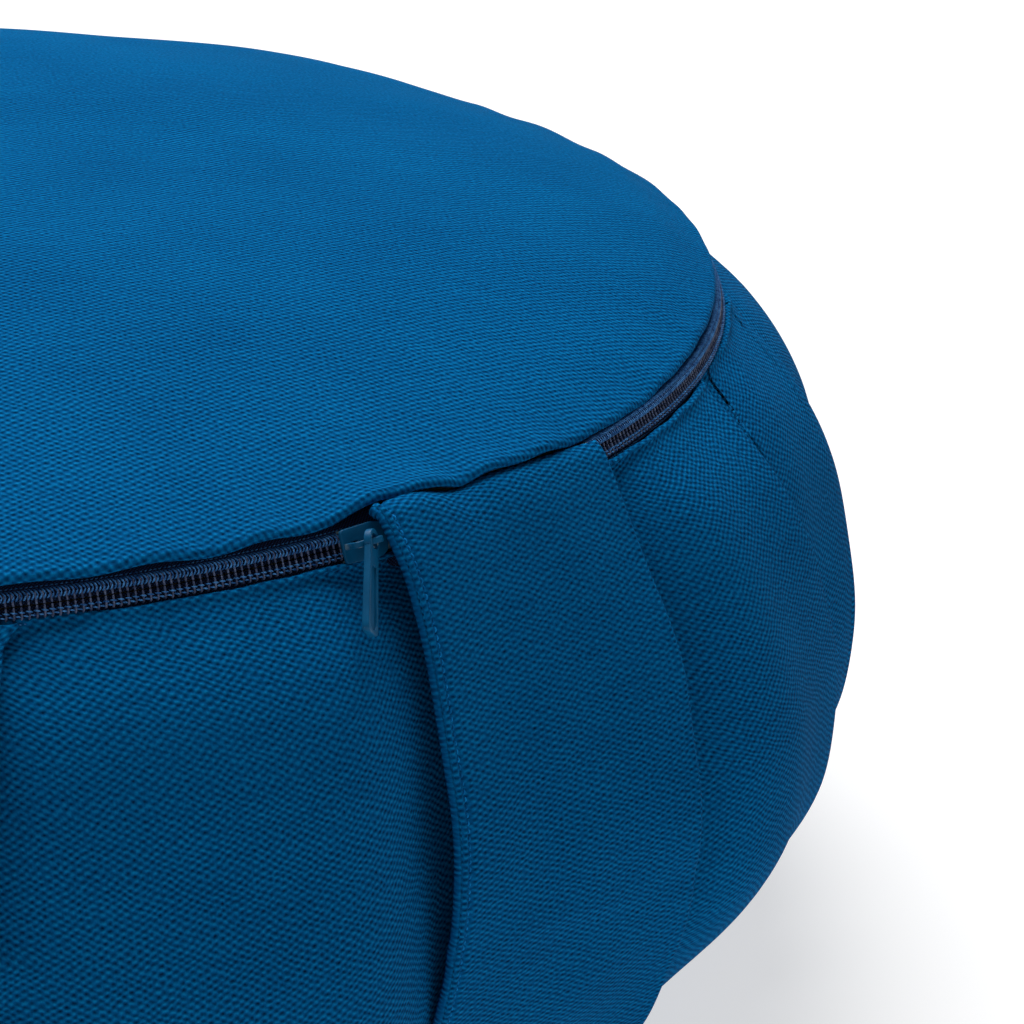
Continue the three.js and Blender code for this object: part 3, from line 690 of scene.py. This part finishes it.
def cut_plate(name, outlines, low, high, edge, seat, body, nodes=()):
    """A bevelled zinc plate cut to its outlines, in millimetres, the later ones being holes."""
    drawing = bpy.data.curves.new(name, "CURVE")
    drawing.dimensions = "2D"
    drawing.fill_mode = "BOTH"
    drawing.extrude = ((high - low) / 2 - edge) * MM
    drawing.bevel_depth = edge * MM
    drawing.bevel_resolution = 3
    drawing.offset = -edge * MM
    for outline in outlines:
        line = drawing.splines.new("POLY")
        line.points.add(len(outline) - 1)
        line.points.foreach_set("co", np.array([(x * MM, y * MM, 0, 1) for x, y in outline]).ravel())
        line.use_cyclic_u = True
    rough = bpy.data.objects.new(name + "_drawing", drawing)
    bpy.context.scene.collection.objects.link(rough)
    mesh = bpy.data.meshes.new_from_object(rough.evaluated_get(bpy.context.evaluated_depsgraph_get()))
    bpy.data.objects.remove(rough)
    work = bmesh.new()
    work.from_mesh(mesh)
    bmesh.ops.remove_doubles(work, verts=work.verts, dist=1e-6)
    bmesh.ops.recalc_face_normals(work, faces=work.faces)
    for face in work.faces:
        face.smooth = True
    work.to_mesh(mesh)
    work.free()
    mesh.name = name
    mesh.transform(seat @ Matrix.Translation((0, 0, (low + high) / 2 * MM)))
    mesh.set_sharp_from_angle(angle=math.radians(50))
    mesh.materials.clear()
    mesh.materials.append(painted_zinc.material)
    piece = bpy.data.objects.new(name, mesh)
    bpy.context.scene.collection.objects.link(piece)
    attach(piece, body)
    if nodes:
        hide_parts(*nodes)
    return piece


def rounded(start, corner, end, steps=6):
    """Points of a corner rounded off from start to end."""
    a, b, c = map(np.array, (start, corner, end))
    t = np.linspace(0, 1, steps)[:, None]
    return ((1 - t) ** 2 * a + 2 * t * (1 - t) * b + t * t * c).tolist()


half, tail, nose = 4.3, 2.75, 2.95
slider_outline = (
    rounded((-half, -tail + 0.8), (-half, -tail), (-half + 0.8, -tail))
    + rounded((half * 0.35, -nose), (half, -nose), (half, -0.9), 9)
    + rounded((half, 0.9), (half, nose), (half * 0.35, nose), 9)
    + rounded((-half + 0.8, tail), (-half, tail), (-half, tail - 0.8))
)
pin_hole = [(-2.55, -0.55), (-2.55, 0.55), (-1.45, 0.55), (-1.45, -0.55)]
front = [slider_outline, pin_hole]
cut_plate("slider_front", front, 2.1, 2.8, 0.2, slider_seat, "slider", ["slider_body"])
cut_plate("slider_back", [slider_outline], -1.4, -0.7, 0.2, slider_seat, "slider")
for word, side in (("upper", 1), ("lower", -1)):
    wall = [(-3.7, 2.2), (1.5, 2.2), (1.5, 2.62), (-3.7, 2.62)]
    wall = [(x, y * side) for x, y in wall]
    cut_plate(f"slider_wall_{word}", [wall], 0.65, 2.3, 0.1, slider_seat, "slider")
wedge = [(1.9, 0), (2.4, -0.16), (4.0, -0.16), (4.0, 0.16), (2.4, 0.16)]
cut_plate("slider_wedge", [wedge], -0.9, 2.3, 0.04, slider_seat, "slider")

# The crown is drawn from the side: along the slider, and out of it.
crown_top, crown_foot, leg, reach = 6.4, 3.1, 0.8, 2.9
inside, ceiling = reach - leg, crown_top - leg
crown_outline = (
    [(-reach, crown_foot)]
    + rounded((-reach, crown_top - 1.3), (-reach, crown_top), (-reach + 1.5, crown_top), 8)
    + rounded((reach - 1.5, crown_top), (reach, crown_top), (reach, crown_top - 1.3), 8)
    + [(reach, crown_foot), (inside, crown_foot)]
    + rounded((inside, crown_top - 1.3), (inside, ceiling), (inside - 0.5, ceiling), 4)
    + rounded((-inside + 0.5, ceiling), (-inside, ceiling), (-inside, crown_top - 1.3), 4)
    + [(-inside, crown_foot)]
)
side_on = slider_seat @ Matrix.Translation((-1.3 * MM, 0, 0)) @ Matrix.Rotation(math.radians(90), 4, "X")
cut_plate("crown", [crown_outline], -0.5, 0.5, 0.16, side_on, "slider", ["slider_crown"])
for node in ("slider_lock_pin", "zip_top_stop_upper", "zip_top_stop_lower", "zip_bottom_stop"):
    frame["nodes"][node].data.materials.clear()
    frame["nodes"][node].data.materials.append(painted_zinc.material)

# ---- Pull tab -------------------------------------------------------------------------------------------
# A cast tab of the same painted metal. It hangs from the crown by a round eye, edge on to the zip, and has
# a raised rim round a shallow trough on each face.
pull_length, pull_width, neck_width = 15.6, 4.2, 3.3
pull_twist = -56.0
lean = Matrix.Rotation(math.radians(-26), 4, "Z") @ Matrix.Rotation(math.radians(-13), 4, "X")
pull_seat = slider_seat @ Matrix.Translation(slider_seat.inverted() @ pivot) @ lean
pull_seat = pull_seat @ Matrix.Rotation(math.radians(90 + pull_twist), 4, "Y")


def tab_outline(inset):
    """The tab below its eye, drawn this far in from its edge."""
    foot, neck = pull_width / 2 - inset, neck_width / 2 - inset
    low, shoulder = -pull_length + inset, -1.0 - (3.2 if inset else 0)
    corner = 1.3
    left = rounded((-foot, low + corner), (-foot, low), (-foot + corner, low), 5)
    right = rounded((foot - corner, low), (foot, low), (foot, low + corner), 5)
    sides = [(-neck, shoulder), (-foot, low + corner + 0.5)], [(foot, low + corner + 0.5), (neck, shoulder)]
    return sides[0] + left + right + sides[1]


eye = [(2.0 * math.cos(a), 2.0 * math.sin(a)) for a in np.linspace(-0.5, math.pi + 0.5, 26)]
hole = [(1.3 * math.cos(a), 1.3 * math.sin(a)) for a in np.linspace(0, 2 * math.pi, 29)[:-1]]
outer_tab = tab_outline(0) + eye
tab = [outer_tab, hole, tab_outline(0.75)]
cut_plate("pull_tab_rim", tab, -0.6, 0.6, 0.16, pull_seat, "pull", ["pull_tab"])
cut_plate("pull_tab_web", [tab_outline(0.6)], -0.25, 0.25, 0.04, pull_seat, "pull")

# ---- Carrying strap -------------------------------------------------------------------------------------
# A strip of the canvas folded to two layers with its raw edges turned in, topstitched close to its edges
# (the thread is drawn along one edge; the other has only a faint groove), and sewn into the top and bottom
# seams so that it stands off the band like a handle.
strap_left = [
    (171.0, 136.4), (173.6, 135.6), (176.6, 131.6), (179.9, 126.4), (183.1, 118.6), (185.8, 109.1),
    (188.6, 97.8), (190.6, 86.1), (191.4, 74.0), (190.3, 62.6), (187.4, 49.6), (183.2, 37),
    (178.6, 24), (175.6, 12),
]
strap_middle = [
    (171.0, 134.2), (173.8, 133.4), (177.6, 128.6), (181.2, 120.6), (184.4, 112.4), (187.6, 103.6),
    (190.3, 94.2), (192.3, 83.6), (193.4, 73.0), (192.6, 60.4), (189.6, 45.4), (185.0, 32),
    (179.6, 21), (175.8, 11.6),
]
strap_right = [
    (171.0, 132.6), (173.2, 130.6), (177.4, 123.4), (182.7, 113.9), (188.2, 104.5), (192.6, 94.7),
    (195.6, 82.9), (196.8, 73.5), (196.8, 62.0), (195.2, 49.9), (192.0, 40.0), (186.9, 27.5),
    (181.2, 18), (176.0, 11.2),
]
strap_thickness = 2.2
stitch_in = 2.4


def through(knots, count):
    """A smooth line through the knots, evenly spaced."""
    knots = np.array(knots, float)
    padded = np.vstack([2 * knots[0] - knots[1], knots, 2 * knots[-1] - knots[-2]])
    line = []
    for k in range(1, len(padded) - 2):
        a, b, c, d = padded[k - 1 : k + 3]
        t = np.linspace(0, 1, 20, endpoint=False)[:, None]
        square, cube = (2 * a - 5 * b + 4 * c - d) * t**2, (3 * b - a - 3 * c + d) * t**3
        line.append(0.5 * (2 * b + (c - a) * t + square + cube))
    line = np.vstack([*line, knots[-1:]])
    reach = np.append(0, np.cumsum(np.hypot(*np.diff(line, axis=0).T)))
    even = np.linspace(0, reach[-1], count)
    return np.stack([np.interp(even, reach, line[:, k]) for k in (0, 1)], 1)


strap_rows = 190
strap_lines = [through(knots, strap_rows) for knots in (strap_left, strap_middle, strap_right)]


def strap_surface(x, drop=0.0):
    """The strap's outer face, x across it in millimetres: a point and the way out, for each row."""
    s = x / strap_half
    left, middle, right = strap_lines
    line = left * (s * (s - 1) / 2) + middle * (1 - s * s) + right * (s * (s + 1) / 2)
    ahead = np.gradient(line, axis=0)
    ahead /= np.linalg.norm(ahead, axis=1, keepdims=True)
    out = np.stack([-ahead[:, 1], ahead[:, 0]], 1)
    reach = np.linspace(0, 1, strap_rows)
    away = rumple(np.full(strap_rows, x), reach * 150, 26.0, 31) * 0.30 * eased(reach, 0.02, 0.15)
    away = away + 0.35 * np.exp(-(((reach - 0.6) / 0.02) ** 2)) * math.cos(x / 11)
    root = np.exp(-((reach / 0.06) ** 2))
    away = away - 1.1 * root * math.exp(-(((x + 9) / 5.5) ** 2))
    away = away + 0.5 * root * math.exp(-(((x + 19) / 5) ** 2))
    line = line + out * (away - drop)[:, None]
    face = np.stack([np.full(strap_rows, x), -line[:, 0], line[:, 1]], 1)
    return face, np.stack([np.zeros(strap_rows), -out[:, 0], out[:, 1]], 1)


def strap_piece():
    edge = strap_half
    near_edge = -edge + np.array((0.55, 1.1, 1.7, 2.3, 2.7, 3.1, 3.5, 3.9, 4.5, 5.5))
    across = np.concatenate([near_edge, np.linspace(-edge + 7, edge - 7, 26), -near_edge[::-1]])
    columns, flat, run = [], [], np.linspace(0, 1, strap_rows) * 150
    from_edge = edge - np.abs(across)
    sewn = (across < 0) * 0.8 + 0.2
    groove = 0.55 * sewn * np.exp(-(((from_edge - stitch_in) / 0.5) ** 2))
    groove = groove - 0.25 * sewn * np.exp(-(((from_edge - 1.2) / 0.7) ** 2))
    groove = groove + 0.55 * np.exp(-((from_edge / 0.55) ** 2))
    for x, deep in zip(across, groove):
        point, _ = strap_surface(x, deep)
        columns.append(point)
        flat.append(x)
    half_thick = strap_thickness / 2
    for sign in (1, -1):
        if sign == -1:
            for x, deep in zip(across[::-1], groove[::-1]):
                point, _ = strap_surface(x, strap_thickness - deep * 0.6)
                columns.append(point)
                flat.append(edge * 2 + 2 - x)
        for turn in (30, 60, 90, 120, 150):
            bend = math.radians(turn)
            x = sign * (edge - 0.75 + 0.75 * math.sin(bend))
            point, _ = strap_surface(x, half_thick * (1 - math.cos(bend)) * 0.9 + 0.12)
            columns.append(point)
            flat.append(x + sign * turn / 180 if sign > 0 else edge * 3 + 4 + turn / 180)
    points = np.stack(columns, 1) * MM
    flat = np.array(flat + [flat[0] + 2 * (2 * edge + 3)])
    threads = np.stack(np.broadcast_arrays(run[:, None], flat[None, :] * 0.83), -1) * MM
    return sewn_piece("carrying_strap", points, threads, round_rows=False, finish=canvas)


strap = strap_piece()
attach(strap, "cushion")
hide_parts("carry_handle")

stitch_dark, stitch_light = paint(4, 82, 140), paint(20, 140, 214)
topstitch_thread = thread_finish("topstitch_thread", stitch_dark, stitch_light, 700.0, 0.7, 0.02)
stitch_length = 1.35
stitch_paths = []
face, out = strap_surface(-(strap_half - stitch_in), 0.5)
reach = np.append(0, np.cumsum(np.linalg.norm(np.diff(face, axis=0), axis=1)))
for start in np.arange(3.0, reach[-1] - 4, stitch_length):
    spots = start + np.array([0, 0.1, 0.25, 0.45, 0.65, 0.8, 0.9])
    lift = np.array([-0.35, 0.0, 0.14, 0.2, 0.14, 0.0, -0.35])
    path = np.stack([np.interp(spots, reach, face[:, k]) for k in range(3)], 1)
    way = np.stack([np.interp(spots, reach, out[:, k]) for k in range(3)], 1)
    stitch_paths.append((path + way * lift[:, None]) * MM)
topstitch = thread_piece("topstitching", stitch_paths, 0.36, 7, topstitch_thread)
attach(topstitch, "cushion")

# ---- Liner and filling ----------------------------------------------------------------------------------
# Inside is a plain calico liner filled with buckwheat husks. Neither shows while the cover is zipped up.
calico = Finish("calico", Roughness=0.9, Sheen_Weight=0.1)
place = calico.add("ShaderNodeTexCoord", {}, {}, out="Object")
coarse = calico.add("ShaderNodeTexNoise", {}, {"Vector": place, "Scale": 700.0, "Detail": 3.0})
calico.feed(
    Base_Color=mixed(calico, coarse, paint(206, 196, 172), paint(236, 229, 212)),
    Normal=calico.add("ShaderNodeBump", {}, {"Distance": 0.1 * MM, "Height": coarse}, out="Normal"),
)
husk = Finish("buckwheat_husk", Roughness=0.7)
place = husk.add("ShaderNodeTexCoord", {}, {}, out="Object")
shells = husk.add("ShaderNodeTexVoronoi", {}, {"Vector": place, "Scale": 260.0}, out="Distance")
husk.feed(
    Base_Color=mixed(husk, shells, paint(34, 20, 12), paint(120, 84, 52)),
    Normal=husk.add("ShaderNodeBump", {}, {"Distance": 1.2 * MM, "Height": shells}, out="Normal"),
)
inside = {"husk_filling": husk}
for panel in ("liner_top_panel", "liner_bottom_panel", "liner_side_band"):
    inside[panel] = calico
for node, finish in inside.items():
    frame["nodes"][node].data.materials.clear()
    frame["nodes"][node].data.materials.append(finish.material)

# ---- Floor and light ------------------------------------------------------------------------------------
# A plain white studio floor, with one broad soft light overhead and behind, and a weaker one in front.
floor_mesh = bpy.data.meshes.new("floor")
floor_mesh.from_pydata([(-4, -4, 0), (4, -4, 0), (4, 4, 0), (-4, 4, 0)], [], [(0, 1, 2, 3)])
floor = bpy.data.objects.new("floor", floor_mesh)
bpy.context.scene.collection.objects.link(floor)
floor_look = {"Roughness": 0.9, "Specular_IOR_Level": 0.1}
floor_white = Finish("floor_white", Emission_Color=(1, 1, 1, 1), Emission_Strength=0.62, **floor_look)
place = floor_white.add("ShaderNodeTexCoord", {}, {}, out="Object")
dust = floor_white.add("ShaderNodeTexNoise", {}, {"Vector": place, "Scale": 3.0, "Detail": 2.0})
floor_white.feed(Base_Color=mixed(floor_white, dust, (0.42, 0.42, 0.42), (0.45, 0.45, 0.45)))
floor_mesh.materials.append(floor_white.material)


def soft_light(name, size, power, place, towards):
    lamp = bpy.data.lights.new(name, "AREA")
    lamp.shape = "DISK"
    lamp.size, lamp.energy = size, power
    light = bpy.data.objects.new(name, lamp)
    bpy.context.scene.collection.objects.link(light)
    light.location = place
    light.rotation_mode = "QUATERNION"
    light.rotation_quaternion = (Vector(towards) - Vector(place)).to_track_quat("-Z", "Y")


soft_light("overhead", 1.6, 46, (0.35, 0.55, 1.7), (0, 0, 0.1))
soft_light("front_fill", 1.2, 2, (-1.6, -1.1, 0.9), (0, 0, 0.1))
world = bpy.data.worlds.new("studio")
world.use_nodes = True
world.node_tree.nodes["Background"].inputs["Color"].default_value = (1, 1, 1, 1)
world.node_tree.nodes["Background"].inputs["Strength"].default_value = 0.15
bpy.context.scene.world = world
bpy.context.scene.view_settings.view_transform = "Standard"
